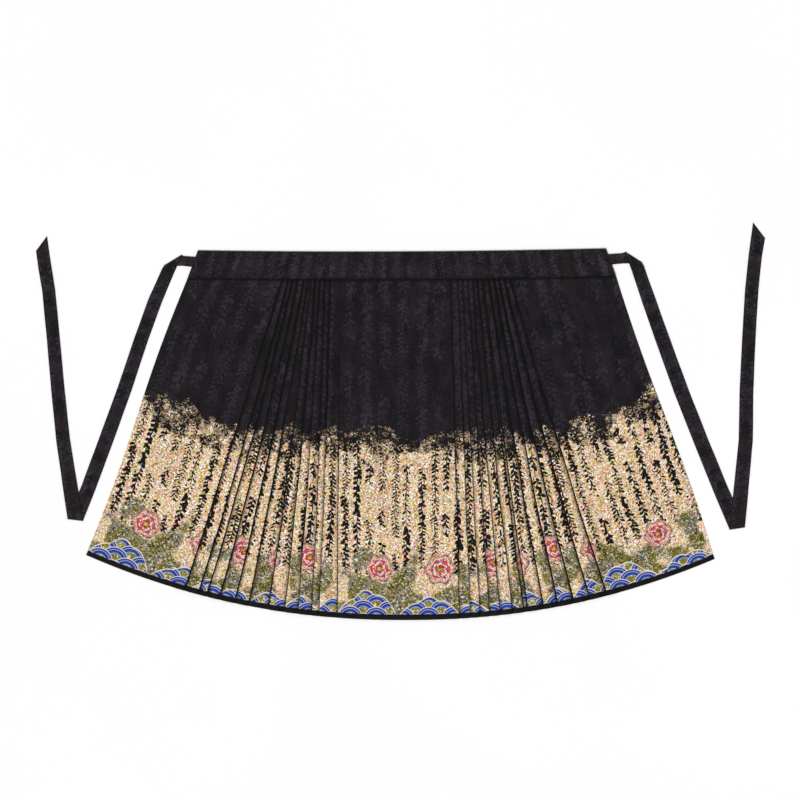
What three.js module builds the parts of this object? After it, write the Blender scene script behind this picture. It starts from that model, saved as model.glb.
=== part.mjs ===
// A horse-face skirt: a wrapped skirt of two overlapping halves on one waistband,
// with flat panels at the sides and centre and knife pleats between them.
// It lies unwrapped and face up on the plane z = 0, the waistband towards +Y.
// Units are millimetres, and the origin is the middle of the footprint.
import * as THREE from "three";

// Cloth
const CLOTH = 1.0;
const LAYER = 1.4;
const SEAM_GAP = 0.3;
const FLOOR_LEVEL = CLOTH / 2;

// Waist seam, where the panels meet the waistband
const SEAM_Y = 385;
const SEAM_TILT = 0.0045;
const SEAM_SAG = 1.7e-5;

// Hem, a curve that rises evenly from its lowest point to both corners
const HEM_CENTRE_X = 12;
const HEM_LOWEST_Y = -536.6;
const HEM_HALF = 861;
const HEM_RISE = 175.5;
const HEM_POWER = 2.15;

// Lines that run from the waist seam to the hem: x on the seam, x on the hem, and bow,
// which is how far the line bulges towards +X half-way down. A side edge also sways,
// towards -X in its upper half and towards +X in its lower half.
// A left-hand edge lies on the cloth to its right, and a right-hand edge on the cloth to its left.
const SIDE_LEFT = { seam: -574, hem: -849, bow: 0, sway: 5 };
const PANEL_LEFT_EDGE = { seam: -320, hem: -585, bow: 3 };
const LEFT_GROUP_LEFT_EDGES = [
  { seam: -304, hem: -548, bow: 7 },
  { seam: -292, hem: -526, bow: 8 },
  { seam: -278, hem: -492, bow: 8 },
  { seam: -263, hem: -450, bow: 7 },
  { seam: -250, hem: -413, bow: 6 },
];
const LEFT_GROUP_RIGHT_EDGES = [
  { seam: -239, hem: -355, bow: 5 },
  { seam: -227, hem: -312, bow: 4 },
  { seam: -215, hem: -276, bow: 3 },
  { seam: -202, hem: -239, bow: 3 },
];
const UNDER_PANEL_EDGE = { seam: -187, hem: -219, bow: 2 };
const CENTRE_FREE_EDGE = { seam: -161, hem: -170, bow: 0 };
const CENTRE_FOLDED_EDGE = { seam: 134, hem: 159, bow: 0 };
const RIGHT_GROUP_LEFT_EDGES = [
  { seam: 153, hem: 188, bow: 0 },
  { seam: 166, hem: 214, bow: -1 },
  { seam: 180, hem: 240, bow: -1 },
  { seam: 193, hem: 269, bow: -2 },
  { seam: 205, hem: 302, bow: -2 },
  { seam: 217, hem: 332, bow: -2 },
];
const RIGHT_GROUP_RIGHT_EDGES = [
  { seam: 225, hem: 346, bow: -3 },
  { seam: 240, hem: 389, bow: -5 },
  { seam: 255, hem: 428, bow: -6 },
  { seam: 268, hem: 471, bow: -7 },
  { seam: 282, hem: 514, bow: -6 },
];
const PANEL_RIGHT_EDGE = { seam: 298, hem: 560, bow: -6 };
const SIDE_RIGHT = { seam: 581, hem: 848, bow: 1, sway: 4 };
const GUIDES = [
  SIDE_LEFT,
  PANEL_LEFT_EDGE,
  ...LEFT_GROUP_LEFT_EDGES,
  ...LEFT_GROUP_RIGHT_EDGES,
  UNDER_PANEL_EDGE,
  CENTRE_FREE_EDGE,
  CENTRE_FOLDED_EDGE,
  ...RIGHT_GROUP_LEFT_EDGES,
  ...RIGHT_GROUP_RIGHT_EDGES,
  PANEL_RIGHT_EDGE,
  SIDE_RIGHT,
];

// Folds: the tuck is the hidden depth of a fold, as a share of the face beside it. A flat
// panel rises onto its folded edge over the run-up, and the lower centre panel comes down
// from its folded edge over a share of the way to the edge of the panel on top of it.
const TUCK_SHARE = 0.48;
const PANEL_RUN_UP = 14;
const UNDER_PANEL_FALL = 0.75;
const UNDER_PANEL_CLEARANCE = 10;
const TURN_ANGLES = [90, 30, -30, -90].map(THREE.MathUtils.degToRad);

// Rows down the skirt, as shares of the way from the waist seam to the hem.
// The first is the seam allowance inside the waistband.
const INSIDE_BAND = -0.024;
const BELOW_BAND = 0.004;
const ON_FLOOR = 0.06;
const BINDING_TOP = 0.986;
const CLOTH_END = BINDING_TOP - SEAM_GAP / (SEAM_Y - HEM_LOWEST_Y);
const CLOTH_ROWS = [INSIDE_BAND, BELOW_BAND, ON_FLOOR, 0.2, 0.42, 0.7, CLOTH_END];
const BINDING_ROWS = [BINDING_TOP, 1];
const BAND_LIFT = CLOTH + SEAM_GAP;
const PANEL_COLUMNS = 8;

// Soft ridges in the flat panels: where across the skirt (x on the seam and on the hem),
// half width, height, and the shares of the way down where they start and end
const RIDGES = [
  { seam: -500, hem: -742, half: 42, height: 3.0, from: 0.04, to: 0.6 },
  { seam: -395, hem: -650, half: 36, height: 2.4, from: 0.05, to: 0.45 },
  { seam: -60, hem: -85, half: 46, height: 2.2, from: 0.05, to: 0.62 },
  { seam: 65, hem: 60, half: 40, height: 2.6, from: 0.04, to: 0.5 },
  { seam: 390, hem: 640, half: 40, height: 3.0, from: 0.05, to: 0.58 },
  { seam: 500, hem: 745, half: 40, height: 2.4, from: 0.04, to: 0.42 },
];

// Waistband: its face stays level over the tops of the panels, then comes down to the
// height of the turn at its top edge
const BAND_HEIGHT = 73;
const BAND_END_SLANT = 27;
const BAND_TOP_TURN = 1.35;
const BAND_TOP_LEVEL = FLOOR_LEVEL + 2 * BAND_TOP_TURN;
const BAND_FULL_TO = 28;
const BAND_FLAT_FROM = 54;
const BAND_STEP = 60;

// How far beyond the folded edge of a panel the band's face starts to rise, and how far
// beyond a panel's free edge it stays up
const BAND_REACH = 28;
const BAND_MARGIN = 4;

// Ties: centre points from the waistband to the free end, with the ribbon's width there.
// Each tie is folded over twice, and each time the later stretch lies on top.
// It stays up for the stacked distance from the fold, and is on the floor by the settled one.
const TIE_ABOVE = FLOOR_LEVEL + LAYER;
const TURN_LEAD = 1;
const FIRST_FOLD_REST = { stacked: 30, settled: 70 };
const SECOND_FOLD_REST = { stacked: 76, settled: 135 };
const LEFT_TIE = {
  root: [
    { x: -506, y: 430, width: 27, up: true },
    { x: -560, y: 430, width: 27, up: true },
    { x: -588, y: 433, width: 27 },
  ],
  firstFold: { x: -615, y: 435, width: 33 },
  drop: [
    { x: -663, y: 324, width: 37 },
    { x: -701, y: 219, width: 37 },
    { x: -746, y: 84, width: 38 },
    { x: -795, y: -51, width: 39 },
    { x: -845, y: -186, width: 39 },
  ],
  secondFold: { x: -878, y: -267, width: 41 },
  end: [
    { x: -911, y: -51, width: 37 },
    { x: -925, y: 84, width: 36 },
    { x: -937, y: 219, width: 35 },
    { x: -950, y: 354, width: 35 },
    { x: -961, y: 420, width: 35 },
  ],
  tip: [
    { x: -984.2, y: 460 },
    { x: -954.5, y: 500 },
  ],
};
const RIGHT_TIE = {
  root: [
    { x: 512, y: 436, width: 28, up: true },
    { x: 569, y: 437, width: 28, up: true },
    { x: 600, y: 440, width: 28 },
  ],
  firstFold: { x: 630, y: 443, width: 34 },
  drop: [
    { x: 671, y: 324, width: 37 },
    { x: 708, y: 219, width: 38 },
    { x: 757, y: 84, width: 39 },
    { x: 810, y: -51, width: 39 },
    { x: 865, y: -186, width: 40 },
  ],
  secondFold: { x: 909, y: -290, width: 41 },
  end: [
    { x: 932, y: -51, width: 38 },
    { x: 934, y: 84, width: 37 },
    { x: 940, y: 219, width: 36 },
    { x: 948, y: 354, width: 36 },
    { x: 958, y: 450, width: 36 },
  ],
  tip: [
    { x: 951.8, y: 536.6 },
    { x: 984.2, y: 494 },
  ],
};

// Finishes
const BLACK_BROCADE = new THREE.MeshStandardMaterial({
  color: 0x1b191d,
  roughness: 0.72,
  metalness: 0,
});
const GOLD_BROCADE = new THREE.MeshStandardMaterial({
  color: 0xb89a66,
  roughness: 0.6,
  metalness: 0,
});
const BINDING_SATIN = new THREE.MeshStandardMaterial({
  color: 0x141318,
  roughness: 0.55,
  metalness: 0,
});

const mix = (a, b, share) => a + (b - a) * share;
const smooth = (share) => {
  const s = THREE.MathUtils.clamp(share, 0, 1);
  return s * s * (3 - 2 * s);
};

const seamY = (x) => SEAM_Y + SEAM_TILT * x + SEAM_SAG * x * x;
const hemY = (x) => HEM_LOWEST_Y + HEM_RISE * (Math.abs(x - HEM_CENTRE_X) / HEM_HALF) ** HEM_POWER;
const bulge = (row) => (row > 0 ? 4 * row * (1 - row) : 0);

function lineX(line, row) {
  const sway = row > 0 ? (line.sway ?? 0) * Math.sin(2 * Math.PI * row) : 0;
  return mix(line.seam, line.hem, row) + line.bow * bulge(row) - sway;
}

// The y of a point on a row: it lies on the line between the two guides beside it.
function rowY(row, x) {
  const xs = GUIDES.map((guide) => lineX(guide, row));
  let right = xs.findIndex((guideX) => guideX > x);
  if (right < 0) right = GUIDES.length - 1;
  right = Math.max(1, right);
  const share = (x - xs[right - 1]) / (xs[right] - xs[right - 1]);
  const seamX = mix(GUIDES[right - 1].seam, GUIDES[right].seam, share);
  const hemX = mix(GUIDES[right - 1].hem, GUIDES[right].hem, share);
  return mix(seamY(seamX), hemY(hemX), row);
}

// How far the cloth is lifted where it runs into the waistband.
const lift = (row) => BAND_LIFT * (1 - smooth((row - BELOW_BAND) / (ON_FLOOR - BELOW_BAND)));

function ridgeHeight(row, x) {
  return RIDGES.reduce((height, ridge) => {
    const across = Math.abs(x - mix(ridge.seam, ridge.hem, row)) / ridge.half;
    const along = (row - ridge.from) / (ridge.to - ridge.from);
    if (across >= 1 || along <= 0 || along >= 1) return height;
    return height + ridge.height * smooth(1 - across) * Math.sin(Math.PI * along);
  }, 0);
}

// A half turn of the cloth between two levels. side is 1 where it turns at its right end.
function turn(x, from, to, side) {
  const radius = LAYER / 2;
  const axisX = x - side * (radius + CLOTH / 2);
  return TURN_ANGLES.map((angle) => ({
    x: axisX + side * radius * Math.cos(angle),
    level: (from + to) / 2 + ((from - to) / 2) * Math.sin(angle),
  }));
}

// The points of a flat panel from x0 to x1 on one level.
function flat(x0, x1, level) {
  return Array.from({ length: PANEL_COLUMNS + 1 }, (_, i) => ({
    x: mix(x0, x1, i / PANEL_COLUMNS),
    level,
    ridged: true,
  }));
}

const named = (piece, points) => points.map((point) => ({ ...point, piece }));

// Hidden depth of the fold at an edge, from the width of the face next to it.
const tuckBetween = (row, edge, next) =>
  TUCK_SHARE * Math.abs(lineX(next, row) - lineX(edge, row));

// A fold whose edge faces right: the face on top turns under, runs back and turns again.
function foldRight(x, tuck) {
  return { top: { x: x - tuck, level: 2 }, edge: turn(x, 2, 1, 1), hidden: turn(x - tuck, 1, 0, -1) };
}

// A fold whose edge faces left, in the order from left to right along the cloth.
function foldLeft(x, tuck) {
  return { hidden: turn(x + tuck, 0, 1, 1), edge: turn(x, 1, 2, -1), top: { x: x + tuck, level: 2 } };
}

// The pleats of one group on a row, from the hidden start to the hidden end of its cloth.
function groupPath(row, firstEdge, leftEdges, rightEdges) {
  const path = [{ x: lineX(firstEdge, row), level: 0 }];
  leftEdges.forEach((edge, i) => {
    const before = i ? leftEdges[i - 1] : firstEdge;
    const x = lineX(edge, row);
    const fold = foldRight(x, tuckBetween(row, edge, before));
    path.push(fold.top, ...fold.edge, ...fold.hidden, { x, level: 0 });
  });
  rightEdges.slice(0, -1).forEach((edge, i) => {
    const x = lineX(edge, row);
    const fold = foldLeft(x, tuckBetween(row, edge, rightEdges[i + 1]));
    path.push({ x, level: 0 }, ...fold.hidden, ...fold.edge, fold.top);
  });
  path.push({ x: lineX(rightEdges.at(-1), row), level: 0 });
  return path;
}

// The first and last points of a hidden turn belong to the two pieces sewn there,
// and the points between them only to a strip that runs through.
function sewnTurn(points, before, after) {
  return [
    { ...points[0], piece: before },
    ...named("through", points.slice(1, -1)),
    { ...points.at(-1), piece: after },
  ];
}

// One half of the skirt on a row, as one run of cloth from its left end to its right end.
function leftHalf(row) {
  const edgeX = lineX(PANEL_LEFT_EDGE, row);
  const first = foldRight(edgeX, tuckBetween(row, PANEL_LEFT_EDGE, LEFT_GROUP_LEFT_EDGES[0]));
  const lastEdge = lineX(UNDER_PANEL_EDGE, row);
  const lastTuck = tuckBetween(row, UNDER_PANEL_EDGE, LEFT_GROUP_RIGHT_EDGES.at(-1));
  const last = foldLeft(lastEdge, lastTuck);
  const underEnd = mix(last.top.x, lineX(CENTRE_FREE_EDGE, row), UNDER_PANEL_FALL);
  return [
    ...named("panel_left", flat(lineX(SIDE_LEFT, row), first.top.x - PANEL_RUN_UP, 0)),
    ...named("panel_left", [first.top, ...first.edge]),
    ...sewnTurn(first.hidden, "panel_left", "pleats_left"),
    ...named(
      "pleats_left",
      groupPath(row, PANEL_LEFT_EDGE, LEFT_GROUP_LEFT_EDGES, [
        ...LEFT_GROUP_RIGHT_EDGES,
        UNDER_PANEL_EDGE,
      ]),
    ),
    ...sewnTurn(last.hidden, "pleats_left", "panel_centre_under"),
    ...named("panel_centre_under", [...last.edge, last.top]),
    ...named("panel_centre_under", flat(underEnd, underPanelRight(row), 0).map(unridged)),
  ];
}

function rightHalf(row) {
  const firstEdge = lineX(CENTRE_FOLDED_EDGE, row);
  const first = foldRight(
    firstEdge,
    tuckBetween(row, CENTRE_FOLDED_EDGE, RIGHT_GROUP_LEFT_EDGES[0]),
  );
  const lastEdge = lineX(PANEL_RIGHT_EDGE, row);
  const last = foldLeft(
    lastEdge,
    tuckBetween(row, PANEL_RIGHT_EDGE, RIGHT_GROUP_RIGHT_EDGES.at(-1)),
  );
  return [
    ...named("panel_centre", flat(lineX(CENTRE_FREE_EDGE, row), first.top.x - PANEL_RUN_UP, 1)),
    ...named("panel_centre", [first.top, ...first.edge]),
    ...sewnTurn(first.hidden, "panel_centre", "pleats_right"),
    ...named(
      "pleats_right",
      groupPath(row, CENTRE_FOLDED_EDGE, RIGHT_GROUP_LEFT_EDGES, [
        ...RIGHT_GROUP_RIGHT_EDGES,
        PANEL_RIGHT_EDGE,
      ]),
    ),
    ...sewnTurn(last.hidden, "pleats_right", "panel_right"),
    ...named("panel_right", [...last.edge, last.top]),
    ...named("panel_right", flat(last.top.x + PANEL_RUN_UP, lineX(SIDE_RIGHT, row), 0)),
  ];
}

const unridged = (point) => ({ ...point, ridged: false });

function underPanelRight(row) {
  const tuck = tuckBetween(row, CENTRE_FOLDED_EDGE, RIGHT_GROUP_LEFT_EDGES[0]);
  return lineX(CENTRE_FOLDED_EDGE, row) - tuck - UNDER_PANEL_CLEARANCE;
}

// The middle surface of a piece: one list of points for each row.
function middleOf(half, rows, piece) {
  return rows.map((row) =>
    half(row)
      .filter((point) => !piece || point.piece === piece)
      .map((point) => {
        const swell = point.ridged ? ridgeHeight(row, point.x) : 0;
        const z = FLOOR_LEVEL + LAYER * point.level + lift(row) + swell;
        return new THREE.Vector3(point.x, rowY(row, point.x), z);
      }),
  );
}

// The way from the middle surface to its upper face, for a wall of unit offset.
// At a bend it keeps that distance to the cloth on both sides.
function offsetAt(middle, r, c) {
  const row = middle[r];
  const above = middle[Math.max(0, r - 1)][c];
  const below = middle[Math.min(middle.length - 1, r + 1)][c];
  const down = below.clone().sub(above).normalize();
  const normals = [];
  if (c > 0) normals.push(row[c].clone().sub(row[c - 1]).cross(down).negate().normalize());
  if (c < row.length - 1) {
    normals.push(row[c + 1].clone().sub(row[c]).cross(down).negate().normalize());
  }
  if (normals.length === 1) return normals[0];
  const spread = 1 + normals[0].dot(normals[1]);
  return normals[0].clone().add(normals[1]).divideScalar(spread);
}

// A closed wall of cloth around a middle surface.
function wall(middle, thickness) {
  const rows = middle.length;
  const columns = middle[0].length;
  const positions = [];
  [thickness / 2, -thickness / 2].forEach((distance) => {
    middle.forEach((row, r) => {
      row.forEach((point, c) => {
        const moved = point.clone().addScaledVector(offsetAt(middle, r, c), distance);
        positions.push(moved.x, moved.y, moved.z);
      });
    });
  });
  const lower = rows * columns;
  const at = (r, c) => r * columns + c;
  const triangles = [];
  const quad = (a, b, c, d) => triangles.push(a, b, c, a, c, d);
  for (let r = 0; r < rows - 1; r++) {
    for (let c = 0; c < columns - 1; c++) {
      const corners = [at(r, c), at(r + 1, c), at(r + 1, c + 1), at(r, c + 1)];
      quad(...corners);
      quad(...corners.map((corner) => corner + lower).reverse());
    }
  }
  const rim = [];
  for (let c = 0; c < columns - 1; c++) rim.push(at(0, c));
  for (let r = 0; r < rows - 1; r++) rim.push(at(r, columns - 1));
  for (let c = columns - 1; c > 0; c--) rim.push(at(rows - 1, c));
  for (let r = rows - 1; r > 0; r--) rim.push(at(r, 0));
  rim.forEach((corner, i) => {
    const next = rim[(i + 1) % rim.length];
    quad(corner, next, next + lower, corner + lower);
  });
  const geometry = new THREE.BufferGeometry();
  geometry.setAttribute("position", new THREE.Float32BufferAttribute(positions, 3));
  geometry.setIndex(triangles);
  geometry.computeVertexNormals();
  return geometry;
}

// The face of the waistband lies over the panels, so it is higher over the pleats.
// These are the places along the seam where its level changes.
function bandFace() {
  const overPanel = BAND_TOP_LEVEL;
  const overCentre = BAND_LIFT + FLOOR_LEVEL + LAYER + CLOTH + SEAM_GAP;
  const overPleats = BAND_LIFT + FLOOR_LEVEL + 2 * LAYER + CLOTH + SEAM_GAP;
  return [
    { x: SIDE_LEFT.seam, level: overPanel },
    { x: PANEL_LEFT_EDGE.seam - BAND_REACH, level: overPanel },
    { x: PANEL_LEFT_EDGE.seam - BAND_REACH + PANEL_RUN_UP, level: overPleats },
    { x: CENTRE_FREE_EDGE.seam - BAND_MARGIN, level: overPleats },
    { x: CENTRE_FREE_EDGE.seam + PANEL_RUN_UP, level: overCentre },
    { x: CENTRE_FOLDED_EDGE.seam - BAND_REACH, level: overCentre },
    { x: CENTRE_FOLDED_EDGE.seam - BAND_REACH + PANEL_RUN_UP, level: overPleats },
    { x: PANEL_RIGHT_EDGE.seam + BAND_REACH - PANEL_RUN_UP, level: overPleats },
    { x: PANEL_RIGHT_EDGE.seam + BAND_REACH, level: overPanel },
    { x: SIDE_RIGHT.seam, level: overPanel },
  ];
}

// The stations of the waistband: its corners, and enough places between them.
function bandStations() {
  const corners = bandFace();
  const between = corners.slice(1).flatMap((corner, i) => {
    const before = corners[i];
    const steps = Math.ceil((corner.x - before.x) / BAND_STEP);
    return Array.from({ length: steps }, (_, step) => {
      const share = (step + 1) / steps;
      return { x: mix(before.x, corner.x, share), level: mix(before.level, corner.level, share) };
    });
  });
  return [corners[0], ...between];
}

// The waistband: a folded strip, open downwards, around the tops of the panels.
function waistbandMiddle() {
  const turnY = BAND_HEIGHT - BAND_TOP_TURN - CLOTH / 2;
  return bandStations().map((station) => {
    const share = (station.x - SIDE_LEFT.seam) / (SIDE_RIGHT.seam - SIDE_LEFT.seam);
    const slant = mix(BAND_END_SLANT, -BAND_END_SLANT, share);
    const section = [
      { up: 0, z: station.level },
      { up: BAND_FULL_TO, z: station.level },
      { up: BAND_FLAT_FROM, z: BAND_TOP_LEVEL },
      ...TURN_ANGLES.map((angle) => ({
        up: turnY + BAND_TOP_TURN * Math.cos(angle),
        z: FLOOR_LEVEL + BAND_TOP_TURN * (1 + Math.sin(angle)),
      })),
      { up: 0, z: FLOOR_LEVEL },
    ];
    return section.map(({ up, z }) => {
      const x = station.x + (slant * up) / BAND_HEIGHT;
      return new THREE.Vector3(x, seamY(station.x) + up, z);
    });
  });
}

// Two points beside a tie's centre line, one on each edge of the ribbon.
function across(centre, along, width, z, flipped) {
  const side = new THREE.Vector2(-along.y, along.x).multiplyScalar(width / 2);
  if (flipped) side.negate();
  return [
    new THREE.Vector3(centre.x + side.x, centre.y + side.y, z),
    new THREE.Vector3(centre.x - side.x, centre.y - side.y, z),
  ];
}

// Stations along a stretch that isn't folded, each square to the way the ribbon runs.
function stretch(points, before, after, flipped) {
  const line = [before, ...points, after];
  return points.map((point, i) => {
    const along = new THREE.Vector2(line[i + 2].x - line[i].x, line[i + 2].y - line[i].y);
    const z = point.up ? TIE_ABOVE : FLOOR_LEVEL;
    return across(point, along.normalize(), point.width, z, flipped);
  });
}

// The fold of a ribbon: the line that it turns over, and the way out over that line.
function foldOf(before, fold, after, flipped) {
  const into = new THREE.Vector2(fold.x - before.x, fold.y - before.y).normalize();
  const outOf = new THREE.Vector2(after.x - fold.x, after.y - fold.y).normalize();
  const line = into.clone().add(outOf).normalize();
  const reach = fold.width / 2 / Math.abs(into.cross(line));
  const over = new THREE.Vector2(-line.y, line.x);
  if (over.dot(into) < 0) over.negate();
  const leftOfInto = new THREE.Vector2(-into.y, into.x);
  const forward = line.dot(leftOfInto) > 0 !== flipped;
  const end = line.clone().multiplyScalar(forward ? reach : -reach);
  return { ends: [end, end.clone().negate()], over, centre: new THREE.Vector2(fold.x, fold.y) };
}

// Stations of the half turn at a fold, from the floor up, at each angle about the fold line.
function turnStations(fold) {
  const radius = LAYER / 2;
  const inset = radius + CLOTH / 2;
  return TURN_ANGLES.map((angle) =>
    fold.ends.map((end) => {
      const out = radius * Math.cos(angle) - inset;
      return new THREE.Vector3(
        fold.centre.x + end.x + fold.over.x * out,
        fold.centre.y + end.y + fold.over.y * out,
        FLOOR_LEVEL + radius - radius * Math.sin(angle),
      );
    }),
  );
}

// A station behind the half turn at a fold, on one level.
const behindTurn = (fold, distance, z) =>
  fold.ends.map((end) => {
    const out = -(LAYER / 2 + CLOTH / 2) - distance;
    return new THREE.Vector3(
      fold.centre.x + end.x + fold.over.x * out,
      fold.centre.y + end.y + fold.over.y * out,
      z,
    );
  });

// The points of a stretch after its fold: it lies on the stretch before, then comes down.
function afterFold(fold, points, rest) {
  const next = points[0];
  const length = Math.hypot(next.x - fold.x, next.y - fold.y);
  const at = (distance, up) => ({
    x: mix(fold.x, next.x, distance / length),
    y: mix(fold.y, next.y, distance / length),
    width: mix(fold.width, next.width, distance / length),
    up,
  });
  return [at(rest.stacked, true), at(rest.settled, false), ...points];
}

// The three stretches of a tie, each as a list of stations.
// A stretch that follows a fold holds the half turn of that fold.
function tieStations(tie) {
  const first = foldOf(tie.root.at(-1), tie.firstFold, tie.drop[0], false);
  const second = foldOf(tie.drop.at(-1), tie.secondFold, tie.end[0], true);
  const back = { x: 2 * tie.root[0].x - tie.root[1].x, y: tie.root[0].y };
  const tipCentre = { x: (tie.tip[0].x + tie.tip[1].x) / 2, y: (tie.tip[0].y + tie.tip[1].y) / 2 };
  const tip = tie.tip.map(({ x, y }) => new THREE.Vector3(x, y, FLOOR_LEVEL));
  const drop = afterFold(tie.firstFold, tie.drop, FIRST_FOLD_REST);
  const end = afterFold(tie.secondFold, tie.end, SECOND_FOLD_REST);
  const turned = (fold) => [
    behindTurn(fold, TURN_LEAD, FLOOR_LEVEL),
    ...turnStations(fold),
    behindTurn(fold, TURN_LEAD, TIE_ABOVE),
  ];
  return {
    root: [
      ...stretch(tie.root, back, tie.firstFold, false),
      behindTurn(first, TURN_LEAD + SEAM_GAP, FLOOR_LEVEL),
    ],
    drop: [
      ...turned(first),
      ...stretch(drop, tie.firstFold, tie.secondFold, true),
      behindTurn(second, TURN_LEAD + SEAM_GAP, FLOOR_LEVEL),
    ],
    end: [...turned(second), ...stretch(end, tie.secondFold, tipCentre, false), tip],
  };
}

// A ribbon's middle surface has two rows, one for each edge.
const ribbon = (stations) => [1, 0].map((edge) => stations.map((station) => station[edge]));

const skirt = new THREE.Group();

function add(name, geometry, material) {
  const mesh = new THREE.Mesh(geometry, material);
  mesh.name = name;
  skirt.add(mesh);
}

["panel_left", "pleats_left", "panel_centre_under"].forEach((piece) => {
  add(piece, wall(middleOf(leftHalf, CLOTH_ROWS, piece), CLOTH), GOLD_BROCADE);
});
["panel_centre", "pleats_right", "panel_right"].forEach((piece) => {
  add(piece, wall(middleOf(rightHalf, CLOTH_ROWS, piece), CLOTH), GOLD_BROCADE);
});
add("binding_left", wall(middleOf(leftHalf, BINDING_ROWS), CLOTH), BINDING_SATIN);
add("binding_right", wall(middleOf(rightHalf, BINDING_ROWS), CLOTH), BINDING_SATIN);
add("waistband", wall(waistbandMiddle(), CLOTH), BLACK_BROCADE);
Object.entries({ left: LEFT_TIE, right: RIGHT_TIE }).forEach(([side, tie]) => {
  Object.entries(tieStations(tie)).forEach(([part, stations]) => {
    add(`tie_${side}_${part}`, wall(ribbon(stations), CLOTH), BLACK_BROCADE);
  });
});

export default skirt;
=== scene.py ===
"""A horse-face skirt, unwrapped and laid flat: its looks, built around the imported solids.

Tables and shader numbers are in millimetres, and lengths become metres where a mesh is made.
The skirt lies on z = 0 with its waistband towards +Y, and is seen from straight above.
"""

from collections import namedtuple

import bpy
import numpy as np
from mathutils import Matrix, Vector


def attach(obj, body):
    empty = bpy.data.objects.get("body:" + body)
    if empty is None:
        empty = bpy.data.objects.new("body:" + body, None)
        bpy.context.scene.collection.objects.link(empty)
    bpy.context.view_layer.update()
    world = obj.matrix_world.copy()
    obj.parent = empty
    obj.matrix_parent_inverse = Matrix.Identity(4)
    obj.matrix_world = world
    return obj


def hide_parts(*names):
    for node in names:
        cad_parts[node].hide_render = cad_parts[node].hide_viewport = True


MM = 0.001

# Cloth
CLOTH = 1.0
LAYER = 1.4
FLOOR_LEVEL = CLOTH / 2
TURN_RADIUS = LAYER / 2
TURN_DEPTH = TURN_RADIUS + CLOTH / 2
TURN_POINTS = 6
SHARP_ANGLE = 60

# Waist seam and hem
SEAM_Y = 385
SEAM_TILT = 0.0045
SEAM_SAG = 1.7e-5
HEM_CENTRE_X = 12
HEM_LOWEST_Y = -536.6
HEM_HALF = 861
HEM_RISE = 175.5
HEM_POWER = 2.15

# Lines from the waist seam to the hem: x on the seam, x on the hem, how far the line
# bulges towards +X half-way down, and how far a side edge sways
Line = namedtuple("Line", "seam hem bow sway", defaults=(0, 0))
SIDE_LEFT = Line(-574, -849, sway=5)
PANEL_LEFT_EDGE = Line(-320, -585, 3)
LEFT_GROUP_LEFT_EDGES = [
    Line(-304, -548, 7),
    Line(-292, -526, 8),
    Line(-278, -492, 8),
    Line(-263, -450, 7),
    Line(-250, -413, 6),
]
LEFT_GROUP_RIGHT_EDGES = [
    Line(-239, -355, 5),
    Line(-227, -312, 4),
    Line(-215, -276, 3),
    Line(-202, -239, 3),
]
UNDER_PANEL_EDGE = Line(-187, -219, 2)
CENTRE_FREE_EDGE = Line(-161, -170)
CENTRE_FOLDED_EDGE = Line(134, 159)
RIGHT_GROUP_LEFT_EDGES = [
    Line(153, 188),
    Line(166, 214, -1),
    Line(180, 240, -1),
    Line(193, 269, -2),
    Line(205, 302, -2),
    Line(217, 332, -2),
]
RIGHT_GROUP_RIGHT_EDGES = [
    Line(225, 346, -3),
    Line(240, 389, -5),
    Line(255, 428, -6),
    Line(268, 471, -7),
    Line(282, 514, -6),
]
PANEL_RIGHT_EDGE = Line(298, 560, -6)
SIDE_RIGHT = Line(581, 848, 1, 4)
GUIDES = [SIDE_LEFT, PANEL_LEFT_EDGE, *LEFT_GROUP_LEFT_EDGES, *LEFT_GROUP_RIGHT_EDGES]
GUIDES += [UNDER_PANEL_EDGE, CENTRE_FREE_EDGE, CENTRE_FOLDED_EDGE]
GUIDES += [*RIGHT_GROUP_LEFT_EDGES, *RIGHT_GROUP_RIGHT_EDGES, PANEL_RIGHT_EDGE, SIDE_RIGHT]

# Folds: the hidden depth as a share of the face beside the fold, the run of a flat panel
# onto its folded edge, and how the lower centre panel comes down from its folded edge
TUCK_SHARE = 0.48
PANEL_RUN_UP = 14
UNDER_PANEL_FALL = 0.75
UNDER_PANEL_CLEARANCE = 10
BETWEEN_PIECES = "between"
FOLD_WOBBLE = 0.7

# Rows down the skirt, as shares of the way from the waist seam to the hem
INSIDE_BAND = -0.024
BELOW_BAND = 0.004
ON_FLOOR = 0.06
BINDING_TOP = 0.986
BINDING_CLEARANCE = 0.3
CLOTH_END = BINDING_TOP - BINDING_CLEARANCE / (SEAM_Y - HEM_LOWEST_Y)
ROW_COUNT = 104
BINDING_ROW_COUNT = 5
BINDING_WIDTH = 12.9
BINDING_SWELL = 0.15
BAND_LIFT = 1.3

# Columns across: on a flat panel, between two pleats, on the slope and the top of a pleat,
# and where the cloth is hidden
PANEL_COLUMNS = 64
VALLEY_COLUMNS = 20
SLOPE_COLUMNS = 9
TOP_COLUMNS = 5
HIDDEN_COLUMNS = 3

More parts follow.
